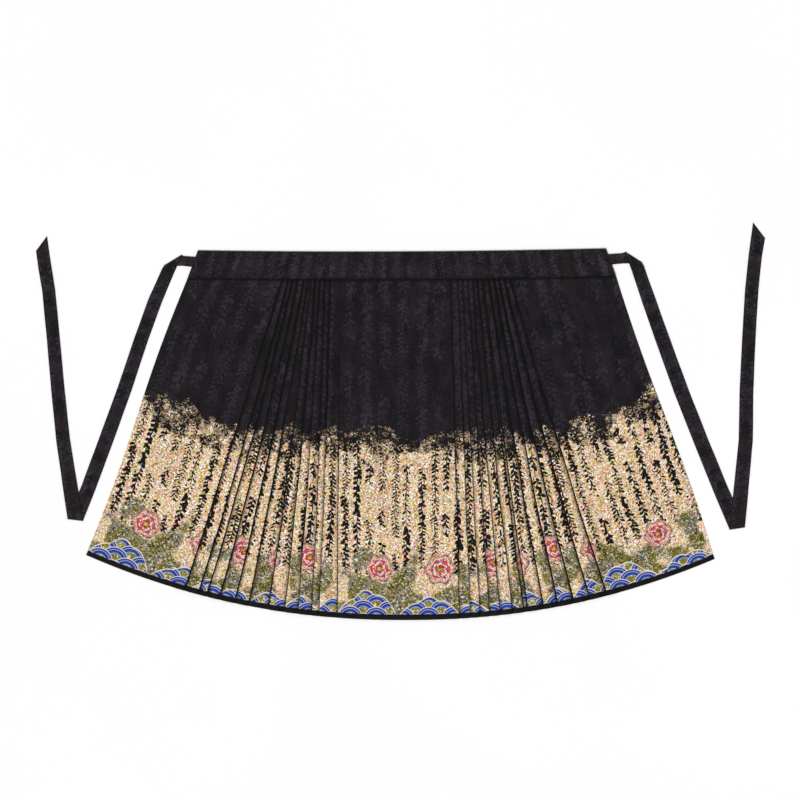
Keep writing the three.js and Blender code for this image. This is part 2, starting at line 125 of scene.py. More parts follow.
# Soft ridges in the flat panels: x on the seam and on the hem, half width, height, and the
# shares of the way down where they start and end
Ridge = namedtuple("Ridge", "seam hem half height start end")
RIDGES = [
    Ridge(-500, -742, 42, 3.0, 0.04, 0.6),
    Ridge(-395, -650, 36, 2.4, 0.05, 0.45),
    Ridge(-548, -805, 16, 1.2, 0.02, 0.3),
    Ridge(-452, -702, 13, 1.3, 0.02, 0.2),
    Ridge(-352, -610, 11, 1.0, 0.02, 0.24),
    Ridge(-60, -85, 46, 2.2, 0.05, 0.62),
    Ridge(-118, -130, 14, 1.0, 0.02, 0.22),
    Ridge(5, 2, 13, 1.1, 0.02, 0.2),
    Ridge(65, 60, 40, 2.6, 0.04, 0.5),
    Ridge(390, 640, 40, 3.0, 0.05, 0.58),
    Ridge(345, 600, 12, 1.2, 0.02, 0.26),
    Ridge(447, 700, 14, 1.3, 0.02, 0.22),
    Ridge(500, 745, 40, 2.4, 0.04, 0.42),
    Ridge(552, 800, 14, 1.1, 0.02, 0.3),
]

# Pleats stand further off one another towards the hem, more in some places than in others
OPEN_AT_HEM = 0.55
OPEN_FROM = 0.25
OPEN_WAVE = 190

# Waistband
BAND_HEIGHT = 73
BAND_END_SLANT = 27
BAND_TOP_TURN = 1.35
BAND_TOP_LEVEL = FLOOR_LEVEL + 2 * BAND_TOP_TURN
BAND_FULL_TO = 28
BAND_FLAT_FROM = 54
BAND_STEP = 9
BAND_REACH = 28
BAND_MARGIN = 4
BAND_FACE_POINTS = 16
BAND_PUFF = 0.5
BAND_PUFF_WAVE = 74
BAND_JOIN_X = -242
BAND_STITCHES_UP = 3.0
BAND_CLEARANCE = 0.3
BACK_OF_BAND = 100

# Ties: centre points from the waistband to the free end, with the ribbon's width there. After
# a fold the ribbon lies on itself to the first distance, and is on the floor from the second
Tie = namedtuple("Tie", "root first_fold drop second_fold end tip")
Point = namedtuple("Point", "x y width up", defaults=(False,))
TIE_ABOVE = FLOOR_LEVEL + LAYER
TURN_LEAD = 1
FIRST_FOLD_REST = (30, 70)
SECOND_FOLD_REST = (76, 135)
TIE_STEP = 7
TIE_COLUMNS = 8
TIE_RIPPLE = 0.9
TIE_RIPPLE_WAVE = 118
TIE_FLAT_TO = 120
TIE_RIPPLE_FADE = 60
LEFT_TIE = Tie(
    root=[Point(-506, 430, 27, True), Point(-560, 430, 27, True), Point(-588, 433, 27)],
    first_fold=Point(-615, 435, 33),
    drop=[
        Point(-663, 324, 37),
        Point(-701, 219, 37),
        Point(-746, 84, 38),
        Point(-795, -51, 39),
        Point(-845, -186, 39),
    ],
    second_fold=Point(-878, -267, 41),
    end=[
        Point(-911, -51, 37),
        Point(-925, 84, 36),
        Point(-937, 219, 35),
        Point(-950, 354, 35),
        Point(-961, 420, 35),
    ],
    tip=[(-984.2, 460), (-954.5, 500)],
)
RIGHT_TIE = Tie(
    root=[Point(512, 436, 28, True), Point(569, 437, 28, True), Point(600, 440, 28)],
    first_fold=Point(630, 443, 34),
    drop=[
        Point(671, 324, 37),
        Point(708, 219, 38),
        Point(757, 84, 39),
        Point(810, -51, 39),
        Point(865, -186, 40),
    ],
    second_fold=Point(909, -290, 41),
    end=[
        Point(932, -51, 38),
        Point(934, 84, 37),
        Point(940, 219, 36),
        Point(948, 354, 36),
        Point(958, 450, 36),
    ],
    tip=[(951.8, 536.6), (984.2, 494)],
)

# Print: how far above the hem the gold reaches, by x on the hem
GOLD_LINE_X = [-849, -720, -585, -400, -219, 159, 560, 700, 848]
GOLD_LINE_HEIGHT = [450, 456, 450, 468, 486, 482, 458, 450, 470]

# Shade: how deep it is, from 0 to 1, how far it reaches, and the slant of a fold at its deepest
FOLD_SHADE_REACH = 6.2
UPRIGHT_FOLD_SHADE = 0.6
FULL_SHADE_SLANT = 190
UNDER_BAND_SHADE = 0.75
BAND_SHADE_REACH = 2.2
BY_BINDING_SHADE = 0.75
BINDING_SHADE_REACH = 4.6

# Weave and finish of the cloth
THREAD = 0.9
RIB_PITCH = 1.4
BUMP_DEPTH = 0.4
CLOTH_FINISH = {"Specular IOR Level": 0.12, "Sheen Weight": 0.03, "Sheen Roughness": 0.4}
STITCH_PITCH = 4.0
STITCH_HALF_WIDTH = 0.8
JOIN_HALF_WIDTH = 0.9

# The fade from black to gold: its depth, and the reach, wave, seed and detail of its lobes
FADE_DEPTH = 54
LOBES = [(150, 92, 103.0, 4.0), (30, 24, 107.0, 2.0)]

# Sprays of leaves, black on the gold down to a height above the hem, and larger and faint on
# the black. A pair, here and below, is the least value and the most that is added to it
SPRAY_PITCH = 34
SPRAY_STRETCH = (0.78, 0.42)
BRUSH = (0.6, 1.0)
LEAF_STEP = 10.5
LEAF_ANGLE = (0.45, 0.9)
LEAF_WIDTH = (1.5, 2.1)
BUD_RADIUS = (1.2, 1.7)
INK_STOPS_AT = 118
JACQUARD_SCALE = 1.45

# Colours. Each material has a plain one too, for the solid view. A palette has the value from
# which each colour holds, and the colour
MATERIAL_COLOURS = {
    "gold_brocade": (120, 105, 80),
    "band_damask": (30, 28, 32),
    "tie_damask": (30, 28, 32),
    "binding_satin": (20, 19, 23),
    "floor_paint": (240, 240, 240),
}
# Dark stitches and joins, and painted shade on the rolled edges of the waistband and ties
SEAM_BLACK_AND_EDGE_SHADE = (8, 7, 9)
# Painted shade beside fold edges, under the waistband and above the binding
PAINTED_SHADE_BLACK = (9, 7, 8)
SATIN = [(6, 5, 8), (15, 13, 18)]
# Painted shade along both edges of the hem binding
SATIN_EDGE_SHADE = (1, 1, 2)
FLOOR_PAINT = [(249, 249, 249), (252, 252, 252)]
BLACK = (11, 9, 13)
# The lighter tone of the black: random lighter patches, and painted sheen on the tone-on-tone marks
BLACK_LIGHTER_AND_SHEEN = (53, 48, 57)
BLACK_WARM = (38, 28, 31)
GOLD_GRAIN = 2.8
GOLD_GROUND = [
    (0.0, (92, 74, 52)),
    (0.07, (134, 142, 58)),
    (0.16, (194, 136, 106)),
    (0.25, (204, 186, 108)),
    (0.38, (238, 210, 152)),
    (0.52, (252, 116, 100)),
    (0.6, (240, 196, 216)),
    (0.67, (255, 255, 252)),
    (0.82, (204, 220, 70)),
    (0.91, (112, 112, 166)),
    (0.95, (252, 246, 238)),
]
GOLD_TAN = [
    (0.0, (86, 68, 42)),
    (0.08, (142, 138, 62)),
    (0.18, (208, 170, 116)),
    (0.38, (239, 211, 149)),
    (0.56, (250, 237, 194)),
    (0.69, (250, 124, 104)),
    (0.76, (255, 254, 250)),
    (0.92, (140, 144, 196)),
]
GOLD_SHADOW = (104, 82, 50)
INK = (15, 12, 14)

# Waves, blossoms and plants along the hem
WAVE_PITCH = 70
WAVE_ROW = 17.5
WAVE_CORE_RADIUS = 17.5
WAVE_RIM = 2.2
RING = 9.4
CREST_PITCH = 166
CREST_LOWEST = 8
CREST_RISE = (24, 38)
RIPPLE_PITCH = 57.0
RIPPLE_RISE = 9
FOAM_WIDTH = 1.8
BLUE = (38, 66, 168)
DEEP_BLUE = (34, 42, 104)
LIGHT_BLUE = (168, 186, 214)
CREAM = (226, 212, 180)
OLIVE = (118, 112, 48)
WAVE_CORE = [(0.0, OLIVE), (0.55, (150, 142, 80)), (0.8, CREAM)]
FLOWER_PITCH = 206
FLOWER_UP = (112, 52)
FLOWER_RADIUS = (38, 13)
PETALS = 6
PETAL_REACH = (0.78, 0.2)
FLOWER_RINGS = [
    (0.0, (198, 168, 88)),
    (0.13, (74, 44, 46)),
    (0.2, (196, 58, 54)),
    (0.34, (240, 222, 208)),
    (0.44, (92, 98, 128)),
    (0.52, (204, 52, 52)),
    (0.66, (236, 216, 198)),
    (0.76, (150, 132, 104)),
    (0.84, (226, 150, 132)),
    (0.93, (84, 82, 96)),
]
SHRUB = [
    (0.0, (46, 42, 24)),
    (0.14, (98, 90, 38)),
    (0.46, (122, 114, 52)),
    (0.8, (160, 150, 98)),
    (0.93, (216, 210, 184)),
]
STONE = [
    (0.0, (56, 52, 40)),
    (0.2, (108, 102, 72)),
    (0.44, (140, 133, 104)),
    (0.66, (180, 156, 112)),
    (0.8, (224, 220, 206)),
    (0.9, (104, 114, 144)),
]

# Camera and light
CAMERA_PLACE = (-1.35, 57.4, 6000)
CAMERA_LENS = 100
CAMERA_SENSOR = 36
KEY_TURN = (38, -26, 0)
KEY_STRENGTH = 2.3
KEY_SOFTNESS = 24
FILL_STRENGTH = 0.52
FLOOR_HALF = 20000
FLOOR_DROP = 0.3


def mix(a, b, share):
    return a + (b - a) * share


def smooth(share):
    s = np.clip(share, 0, 1)
    return s * s * (3 - 2 * s)


def seam_y(x):
    return SEAM_Y + SEAM_TILT * x + SEAM_SAG * x * x


def hem_y(x):
    return HEM_LOWEST_Y + HEM_RISE * (np.abs(x - HEM_CENTRE_X) / HEM_HALF) ** HEM_POWER


def line_x(line, rows):
    """The x of a line on each row. A fold's edge isn't quite straight, so it wobbles a little."""
    below = rows > 0
    bulge = np.where(below, 4 * rows * (1 - rows), 0)
    sway = np.where(below, np.sin(2 * np.pi * rows), 0)
    wobble = np.sin(2 * np.pi * (2.6 * rows + 0.137 * line.seam)) * smooth(rows / 0.3)
    x = mix(line.seam, line.hem, rows) + line.bow * bulge - line.sway * sway
    return x + (0 if line.sway else FOLD_WOBBLE) * wobble * smooth((1 - rows) / 0.1)


def row_y(rows, x):
    """The y of points on each row, for x of shape (columns, rows)."""
    guides = np.array([line_x(guide, rows) for guide in GUIDES])
    seams = [guide.seam for guide in GUIDES]
    hems = [guide.hem for guide in GUIDES]
    y = np.empty_like(x)
    for r, row in enumerate(rows):
        seam = np.interp(x[:, r], guides[:, r], seams)
        hem = np.interp(x[:, r], guides[:, r], hems)
        y[:, r] = mix(seam_y(seam), hem_y(hem), row)
    return y


def lift(rows):
    """How far the cloth is lifted where it runs into the waistband."""
    return BAND_LIFT * (1 - smooth((rows - BELOW_BAND) / (ON_FLOOR - BELOW_BAND)))


def opening(rows, x):
    """How far the layers of the pleats stand off one another, as a factor."""
    wave = 0.5 + 0.5 * np.sin(2 * np.pi * x / OPEN_WAVE + 5 * rows)
    return 1 + OPEN_AT_HEM * smooth((rows - OPEN_FROM) / (1 - OPEN_FROM)) * (0.5 + 0.5 * wave)


def ridge_height(rows, x):
    height = np.zeros_like(x)
    for ridge in RIDGES:
        across = np.abs(x - mix(ridge.seam, ridge.hem, rows)) / ridge.half
        along = np.clip((rows - ridge.start) / (ridge.end - ridge.start), 0, 1)
        height += ridge.height * smooth(1 - across) * np.sin(np.pi * along)
    return height


def fold_at(rows, line, beside):
    """The x of a fold's edge, and its hidden depth, from the width of the face beside it."""
    edge = line_x(line, rows)
    return edge, TUCK_SHARE * np.abs(line_x(beside, rows) - edge)


def fold_shade(x, edge):
    """How deep a point lies in the shade of a fold's edge. Slanting folds stand further open."""
    slant = abs(edge[-1] - edge[0])
    deepest = mix(UPRIGHT_FOLD_SHADE, 1, smooth(slant / FULL_SHADE_SLANT))
    return deepest * np.exp(-np.abs(x - edge) / FOLD_SHADE_REACH)


class Run:
    """A run of cloth across one half of the skirt, on all rows at once, from left to right.

    Each column of points has a piece, the strip of cloth that shows there (None where it is
    hidden in a fold), whether the soft ridges lift it, and how deep in a fold's shade it lies.
    """

    def __init__(self, rows, first_piece):
        self.rows = rows
        self.columns = []
        self.piece = first_piece
        self.strip = None
        self.strips = 0

    def point(self, x, level, shade=0.0, ridged=False):
        """Adds a column of points, unless it would lie on the last one."""
        ones = np.ones_like(self.rows)
        column = {"x": x * ones, "level": level * ones, "shade": shade * ones}
        if self.columns:
            last = self.columns[-1]
            if np.allclose(last["x"], column["x"]) and np.allclose(last["level"], column["level"]):
                return
        self.columns.append({**column, "piece": self.piece, "strip": self.strip, "ridged": ridged})

    def span(self, start, end, count, ease=lambda s: s, ridged=False, under=()):
        """count points from start, without the end. under holds the edges that lie on this span."""
        for i in range(count):
            share = i / count
            x = mix(start[0], end[0], share)
            near = [fold_shade(x, edge) for edge in under]
            shade = np.max(near, axis=0) if near else float(self.strip is None)
            self.point(x, mix(start[1], end[1], ease(share)), shade, ridged)

    def turn(self, x, start, end, side):
        """A half turn between two levels. side is 1 where the cloth turns at its right end."""
        axis = x - side * TURN_DEPTH
        for angle in np.linspace(np.pi / 2, -np.pi / 2, TURN_POINTS):
            level = (start + end) / 2 + (start - end) / 2 * np.sin(angle)
            self.point(axis + side * TURN_RADIUS * np.cos(angle), level, float(self.strip is None))

    def show(self):
        """The next points belong to a new strip of cloth that shows."""
        self.strip = self.strips
        self.strips += 1

    def hide(self):
        self.strip = None

    def right_fold(self, edge, tuck, next_piece=None):
        """A fold whose edge faces right: the face on top turns under, runs back and turns again."""
        self.span((edge - tuck, 2), (edge - TURN_DEPTH, 2), TOP_COLUMNS)
        self.turn(edge, 2, 1, 1)
        self.hide()
        self.span((edge - TURN_DEPTH, 1), (edge - tuck + TURN_DEPTH, 1), HIDDEN_COLUMNS)
        self.sewn_turn(edge - tuck, 1, 0, -1, next_piece)

    def left_fold(self, line, beside, next_piece=None):
        """A fold whose edge faces left. Returns the x that its hidden part reaches."""
        edge, tuck = fold_at(self.rows, line, beside)
        self.hide()
        self.span((edge, 0), (edge + tuck - TURN_DEPTH, 0), HIDDEN_COLUMNS)
        self.sewn_turn(edge + tuck, 0, 1, 1, next_piece)
        self.span((edge + tuck - TURN_DEPTH, 1), (edge + TURN_DEPTH, 1), HIDDEN_COLUMNS)
        self.show()
        self.turn(edge, 1, 2, -1)
        self.span((edge + TURN_DEPTH, 2), (edge + tuck, 2), TOP_COLUMNS)
        return edge + tuck

    def sewn_turn(self, x, start, end, side, next_piece):
        """A hidden turn. Where two pieces are sewn there, only the binding runs round it."""
        first = len(self.columns)
        self.turn(x, start, end, side)
        if next_piece:
            for column in self.columns[first + 1 : -1]:
                column["piece"] = BETWEEN_PIECES
            self.columns[-1]["piece"] = self.piece = next_piece

    def panel(self, side, level, folded_edge, beside, next_piece):
        """A flat panel from its side edge to its folded edge, which lies on the first pleat."""
        edge, tuck = fold_at(self.rows, folded_edge, beside)
        foot = edge - tuck - PANEL_RUN_UP
        self.show()
        self.span((line_x(side, self.rows), level), (foot, level), PANEL_COLUMNS, ridged=True)
        self.span((foot, level), (edge - tuck, 2), SLOPE_COLUMNS, smooth, ridged=True)
        self.right_fold(edge, tuck, next_piece)

    def pleats(self, first_edge, left_edges, right_edges):
        """The pleats of one group. Their cloth starts and ends under the edges beside them."""
        rows = self.rows
        before = line_x(first_edge, rows)
        beside = first_edge
        for line in left_edges:
            edge, tuck = fold_at(rows, line, beside)
            self.hidden_run(before)
            self.show()
            self.span((before, 0), (edge - tuck, 2), SLOPE_COLUMNS, smooth, under=[before])
            self.right_fold(edge, tuck)
            before, beside = edge, line
        self.hidden_run(before)
        self.show()
        after = line_x(right_edges[0], rows)
        self.span((before, 0), (after, 0), VALLEY_COLUMNS, under=[before, after])
        for line, following in zip(right_edges, right_edges[1:]):
            folded_to = self.left_fold(line, following)
            after = line_x(following, rows)
            self.span((folded_to, 2), (after, 0), SLOPE_COLUMNS, smooth, under=[after])
        self.hide()

    def hidden_run(self, end):
        """From the last point, which is on the floor, to the edge that the cloth comes out at."""
        start = self.columns[-1]["x"]
        self.span((mix(start, end, 0.25), 0), (end, 0), HIDDEN_COLUMNS)


def left_half(rows):
    run = Run(rows, "panel_left")
    first, *_, last = LEFT_GROUP_LEFT_EDGES + LEFT_GROUP_RIGHT_EDGES
    run.panel(SIDE_LEFT, 0, PANEL_LEFT_EDGE, first, "pleats_left")
    right_edges = [*LEFT_GROUP_RIGHT_EDGES, UNDER_PANEL_EDGE]
    run.pleats(PANEL_LEFT_EDGE, LEFT_GROUP_LEFT_EDGES, right_edges)
    folded_to = run.left_fold(UNDER_PANEL_EDGE, last, "panel_centre_under")
    cover = line_x(CENTRE_FREE_EDGE, rows)
    foot = mix(folded_to, cover, UNDER_PANEL_FALL)
    run.span((folded_to, 2), (foot, 0), SLOPE_COLUMNS, smooth, under=[cover])
    run.span((foot, 0), (cover, 0), HIDDEN_COLUMNS, under=[cover])
    run.hide()
    fold_over, tuck = fold_at(rows, CENTRE_FOLDED_EDGE, RIGHT_GROUP_LEFT_EDGES[0])
    end = fold_over - tuck - UNDER_PANEL_CLEARANCE
    run.span((cover, 0), (end, 0), VALLEY_COLUMNS)
    run.point(end, 0, 1.0)
    return run


def right_half(rows):
    run = Run(rows, "panel_centre")
    first, *_, last = RIGHT_GROUP_LEFT_EDGES + RIGHT_GROUP_RIGHT_EDGES
    run.panel(CENTRE_FREE_EDGE, 1, CENTRE_FOLDED_EDGE, first, "pleats_right")
    right_edges = [*RIGHT_GROUP_RIGHT_EDGES, PANEL_RIGHT_EDGE]
    run.pleats(CENTRE_FOLDED_EDGE, RIGHT_GROUP_LEFT_EDGES, right_edges)
    folded_to = run.left_fold(PANEL_RIGHT_EDGE, last, "panel_right")
    side = line_x(SIDE_RIGHT, rows)
    foot = folded_to + PANEL_RUN_UP
    run.span((folded_to, 2), (foot, 0), SLOPE_COLUMNS, smooth, ridged=True)
    run.span((foot, 0), (side, 0), PANEL_COLUMNS, ridged=True)
    run.point(side, 0, ridged=True)
    return run


def surface_of(run):
    """The middle surface of a run, as points of shape (columns, rows), and its columns' facts."""
    rows = run.rows
    facts = {key: np.array([column[key] for column in run.columns]) for key in run.columns[0]}
    x = facts["x"]
    z = FLOOR_LEVEL + LAYER * facts["level"] * opening(rows, x) + lift(rows)
    z += np.where(facts["ridged"][:, None], ridge_height(rows, x), 0)
    return np.stack([x, row_y(rows, x), z], axis=-1), facts


def cloth_coordinates(rows, points, strips):
    """Where each point is on the flat cloth: across it, up from the hem, and above the gold line.

    Across the cloth, each strip that shows is measured square to its first column.
    """
    steps = np.linalg.norm(np.diff(points, axis=0), axis=-1)
    along = np.vstack([np.zeros(len(rows)), np.cumsum(steps, axis=0)])
    across = np.full_like(along, np.nan)
    down = np.gradient(points, axis=1)
    down /= np.linalg.norm(down, axis=-1, keepdims=True)
    for strip in sorted(set(strips) - {None}):
        members = [i for i, s in enumerate(strips) if s == strip]
        first = members[0]
        square = np.abs(down[first, :, 1])
        across[members] = along[first, -1] + (along[members] - along[first]) * square
    known = np.array([s is not None for s in strips])
    for r in range(len(rows)):
        across[:, r] = np.interp(along[:, r], along[known, r], across[known, r])
    hem_x = points[:, -1, 0]
    full = np.linalg.norm(points[:, -1, :2] - points[:, 0, :2], axis=-1) / (rows[-1] - rows[0])
    up = (1 - rows) * full[:, None]
    above = up - np.interp(hem_x, GOLD_LINE_X, GOLD_LINE_HEIGHT)[:, None]
    return across, up, above


def offsets(points):
    """The way from a middle surface to its upper face, for a wall of unit offset.

    At a bend it keeps that distance to the cloth on both sides.
    """
    down = np.empty_like(points)
    down[:, 1:-1] = points[:, 2:] - points[:, :-2]
    down[:, 0] = points[:, 1] - points[:, 0]
    down[:, -1] = points[:, -1] - points[:, -2]
    steps = np.diff(points, axis=0)
    before = np.cross(down, np.concatenate([steps[:1], steps]))
    after = np.cross(down, np.concatenate([steps, steps[-1:]]))
    before /= np.linalg.norm(before, axis=-1, keepdims=True)
    after /= np.linalg.norm(after, axis=-1, keepdims=True)
    return (before + after) / (1 + (before * after).sum(axis=-1, keepdims=True))


def grid_faces(columns, rows):
    """Quads of a closed wall: an upper grid, a lower grid and the rim between them."""
    at = np.arange(columns * rows).reshape(columns, rows)
    upper = np.stack([at[:-1, :-1], at[:-1, 1:], at[1:, 1:], at[1:, :-1]], axis=-1)
    upper = upper.reshape(-1, 4)
    lower = upper[:, ::-1] + columns * rows
    rim = np.concatenate([at[:-1, 0], at[-1, :-1], at[:0:-1, -1], at[0, :0:-1]])
    following = np.roll(rim, -1)
    sides = np.stack([rim, following, following + columns * rows, rim + columns * rows], axis=-1)
    return np.concatenate([upper, lower, sides])


def wall(name, points, uv, floats=None):
    """A closed wall of cloth around a grid of points, as a new object with its UV map."""
    columns, rows = points.shape[:2]
    out = offsets(points) * CLOTH / 2
    vertices = np.concatenate([(points + out).reshape(-1, 3), (points - out).reshape(-1, 3)])
    faces = grid_faces(columns, rows)
    mesh = bpy.data.meshes.new(name)
    mesh.from_pydata((vertices * MM).tolist(), [], faces.tolist())
    corners = np.empty(len(mesh.loops), dtype=np.int32)
    mesh.loops.foreach_get("vertex_index", corners)
    layer = mesh.uv_layers.new(name="cloth")
    both = np.tile(uv.reshape(-1, 2), (2, 1)) * MM
    layer.data.foreach_set("uv", both[corners].astype(np.float32).ravel())
    for key, values in (floats or {}).items():
        attribute = mesh.attributes.new(key, "FLOAT", "POINT")
        attribute.data.foreach_set("value", np.tile(values.ravel(), 2).astype(np.float32))
    mesh.shade_smooth()
    mesh.set_sharp_from_angle(angle=np.radians(SHARP_ANGLE))
    made = bpy.data.objects.new(name, mesh)
    bpy.context.scene.collection.objects.link(made)
    return made


# Materials


def linear(red, green, blue):
    """A colour of the screen, from 0 to 255, as the shader's linear one."""
    parts = np.array([red, green, blue]) / 255
    parts = np.where(parts <= 0.04045, parts / 12.92, ((parts + 0.055) / 1.055) ** 2.4)
    return (*parts.tolist(), 1.0)


class Field:
    """A number or colour that varies over a surface: the output of a shader node."""

    def __init__(self, socket):
        self.socket = socket

    def __add__(self, other):
        return calc("ADD", self, other)

    def __radd__(self, other):
        return calc("ADD", other, self)

    def __sub__(self, other):
        return calc("SUBTRACT", self, other)

    def __rsub__(self, other):
        return calc("SUBTRACT", other, self)

    def __mul__(self, other):
        return calc("MULTIPLY", self, other)

    def __rmul__(self, other):
        return calc("MULTIPLY", other, self)

    def __truediv__(self, other):
        return calc("DIVIDE", self, other)


def fill(tree, sockets, values):
    """Gives sockets their plain values, or links them to fields."""
    for key, value in values.items():
        if isinstance(value, Field):
            tree.links.new(value.socket, sockets[key])
        else:
            sockets[key].default_value = value


def add_node(tree, kind, inputs, **settings):
    """A new node with these inputs and settings."""
    made = tree.nodes.new(kind)
    for key, value in settings.items():
        setattr(made, key, value)
    fill(tree, made.inputs, inputs)
    return made


def tree_of(*values):
    return next(value for value in values if isinstance(value, Field)).socket.id_data


def calc(operation, *values):
    tree = tree_of(*values)
    made = add_node(tree, "ShaderNodeMath", dict(enumerate(values)), operation=operation)
    return Field(made.outputs[0])


def floor(value):
    return calc("FLOOR", value)


def size(value):
    return calc("ABSOLUTE", value)


def clamp(value):
    tree = tree_of(value)
    return Field(add_node(tree, "ShaderNodeClamp", {"Value": value}).outputs[0])


def above(value, edge, soft):
    """0 below the edge and 1 above it, with a soft step."""
    return clamp((value - edge) / soft + 0.5)


def ranged(pair, share):
    """The least value of a pair, and a share of what is added to it."""
    least, added = pair
    return least + added * share


def join(*values):
    tree = tree_of(*values)
    return Field(add_node(tree, "ShaderNodeCombineXYZ", dict(enumerate(values))).outputs[0])


def noise(u, h, wave, seed, detail=2.0):
    """Smooth noise from 0 to 1 whose bumps are about one wave across."""
    inputs = {"Vector": join(u / wave, h / wave, seed), "Scale": 1.0, "Detail": detail}
    return Field(add_node(tree_of(u), "ShaderNodeTexNoise", inputs).outputs[0])


def grains(u, h, grain, seed):
    """A random number from 0 to 1 for each grain of about that size."""
    inputs = {"Vector": join(u / grain, h / grain, seed), "Scale": 1.0}
    made = add_node(tree_of(u), "ShaderNodeTexVoronoi", inputs, voronoi_dimensions="3D")
    split = add_node(tree_of(u), "ShaderNodeSeparateColor", {"Color": Field(made.outputs["Color"])})
    return Field(split.outputs[0])


def chance(first, second, third):
    """A random number from 0 to 1 for each combination of three whole numbers."""
    mixed = first + (second * 57.31 + third * 131.7)
    inputs = {"W": mixed}
    made = add_node(tree_of(mixed), "ShaderNodeTexWhiteNoise", inputs, noise_dimensions="1D")
    return Field(made.outputs["Value"])


def blend(share, first, second):
    """From the first colour to the second."""
    inputs = {0: share, 6: first, 7: second}
    made = add_node(tree_of(share), "ShaderNodeMix", inputs, data_type="RGBA")
    return Field(made.outputs[2])


def palette(value, stops):
    """The colour of a palette that holds at a value."""
    made = add_node(tree_of(value), "ShaderNodeValToRGB", {"Fac": value})
    ramp = made.color_ramp
    ramp.interpolation = "CONSTANT"
    for start, _ in stops[1:-1]:
        ramp.elements.new(start)
    for element, (start, colour) in zip(ramp.elements, stops):
        element.position = start
        element.color = linear(*colour)
    return Field(made.outputs[0])


def lens(along, across, half_width):
    """A leaf, pointed at both ends: 1 in it and 0 outside. along runs from 0 to 1."""
    return above(half_width * 4 * along * (1 - along) - size(across), 0, 0.5)


def sprays(u, h, seed):
    """Hanging sprays of leaves and buds, some bolder than others: 1 on them, 0 between them."""
    u = u + 7 * (noise(u, h, 30, seed + 3.1) - 0.5)
    column = floor(u / SPRAY_PITCH)
    sway = 11 * (noise(column * 17.0, h, 70, seed + 7.7, 1.0) - 0.5)
    x = u - (column + 0.34 + 0.32 * chance(column, seed, 5.5)) * SPRAY_PITCH - sway
    side = calc("SIGN", x)
    stretch = ranged(SPRAY_STRETCH, chance(column, seed, 8.5))
    start = LEAF_STEP * (9 * chance(column, seed, 1.5) + 0.25 * side)
    raised = (h + 8 * (noise(u, h, 33, seed + 5.3) - 0.5)) * stretch + start
    cell = floor(raised / LEAF_STEP)
    y = (cell + 1) * LEAF_STEP - raised
    brush = 1.4 * (noise(u, h, 5, seed + 1.3) - 0.5)
    bold = ranged(BRUSH, chance(column, floor(cell / 11), seed + 12.5))
    reach = size(x)
    shape = leaf(column, cell, side, reach, y, brush, bold, seed)
    shape = shape + leaf(column, cell + 1, side, reach, y + LEAF_STEP, brush, bold, seed)
    stem = above(bold + 3 * (noise(u, h, 14, seed + 4.1) - 0.55) - reach, 0, 0.5)
    turned = chance(column, cell, side + seed + 2.5)
    bud_x = reach - (3 + 7 * turned)
    bud_y = y - LEAF_STEP * (0.25 + 0.5 * turned)
    from_bud = calc("SQRT", bud_x * bud_x + bud_y * bud_y)
    bud = above(ranged(BUD_RADIUS, turned) - from_bud, 0, 0.5)
    kept = above(chance(column, floor(cell / 5), seed + 9.5), 0.09, 0.01)
    return clamp((shape + stem + bud * above(turned, 0.35, 0.02)) * kept)


def leaf(column, cell, side, reach, y, brush, bold, seed):
    """The leaf that hangs from the top of a cell, on one side of the stem."""
    turned = chance(column, cell, side + seed)
    longer = chance(column, cell, side + seed + 3.5)
    wider = chance(column, cell, side + seed + 6.5)
    angle = ranged(LEAF_ANGLE, turned)
    cosine, sine = calc("COSINE", angle), calc("SINE", angle)
    along = (reach * cosine + y * sine) / (6 + 7 * longer + 3 * bold)
    across = reach * sine - y * cosine + brush
    return lens(along, across, bold * ranged(LEAF_WIDTH, wider)) * above(wider, 0.16, 0.02)


def new_material(name):
    """A material with a Principled shader. Returns it with its tree and that shader."""
    made = bpy.data.materials.new(name)
    made.use_nodes = True
    made.diffuse_color = linear(*MATERIAL_COLOURS[name])
    tree = made.node_tree
    shader = next(n for n in tree.nodes if n.type == "BSDF_PRINCIPLED")
    return made, tree, shader


def surface_fields(tree):
    """Across the cloth and up from the hem, in millimetres."""
    uv = add_node(tree, "ShaderNodeUVMap", {}, uv_map="cloth")
    split = add_node(tree, "ShaderNodeSeparateXYZ", {0: Field(uv.outputs[0])})
    return Field(split.outputs[0]) / MM, Field(split.outputs[1]) / MM


def stored(tree, name):
    """A number kept on the mesh."""
    return Field(add_node(tree, "ShaderNodeAttribute", {}, attribute_name=name).outputs["Fac"])


def bumps(tree, height, strength):
    """The normals of a surface whose threads have that height."""
    inputs = {"Strength": strength, "Distance": BUMP_DEPTH * MM, "Height": height}
    return Field(add_node(tree, "ShaderNodeBump", inputs).outputs[0])


def weave(u, h):
    """The height of a plain twill weave, from 0 to 1."""
    warp = calc("SINE", (u + h) * (2 * np.pi / THREAD))
    weft = calc("SINE", (u - h) * (np.pi / THREAD))
    return 0.5 + 0.25 * warp + 0.25 * weft


def black_cloth(u, h, marks, seed, warm=0.35, contrast=1.0):
    """Black jacquard: marks of the same colour are painted a little lighter as painted sheen, more
    in some places.
    """
    cloud = noise(u, h / 2.4, 30, seed, 3.0)
    grain = grains(u, h, 2.8, seed)
    strength = clamp(2.4 * noise(u, h, 60, seed + 4) - 0.5)
    share = 0.08 + contrast * (0.85 * (cloud - 0.45) + 0.3 * (grain - 0.5))
    share = clamp(share + contrast * marks * strength * (0.2 + 0.5 * grain))
    colour = blend(share, linear(*BLACK), linear(*BLACK_LIGHTER_AND_SHEEN))
    tint = clamp(warm * (4 * noise(u, h, 48, seed + 8) - 1.7))
    return blend(tint, colour, linear(*BLACK_WARM))


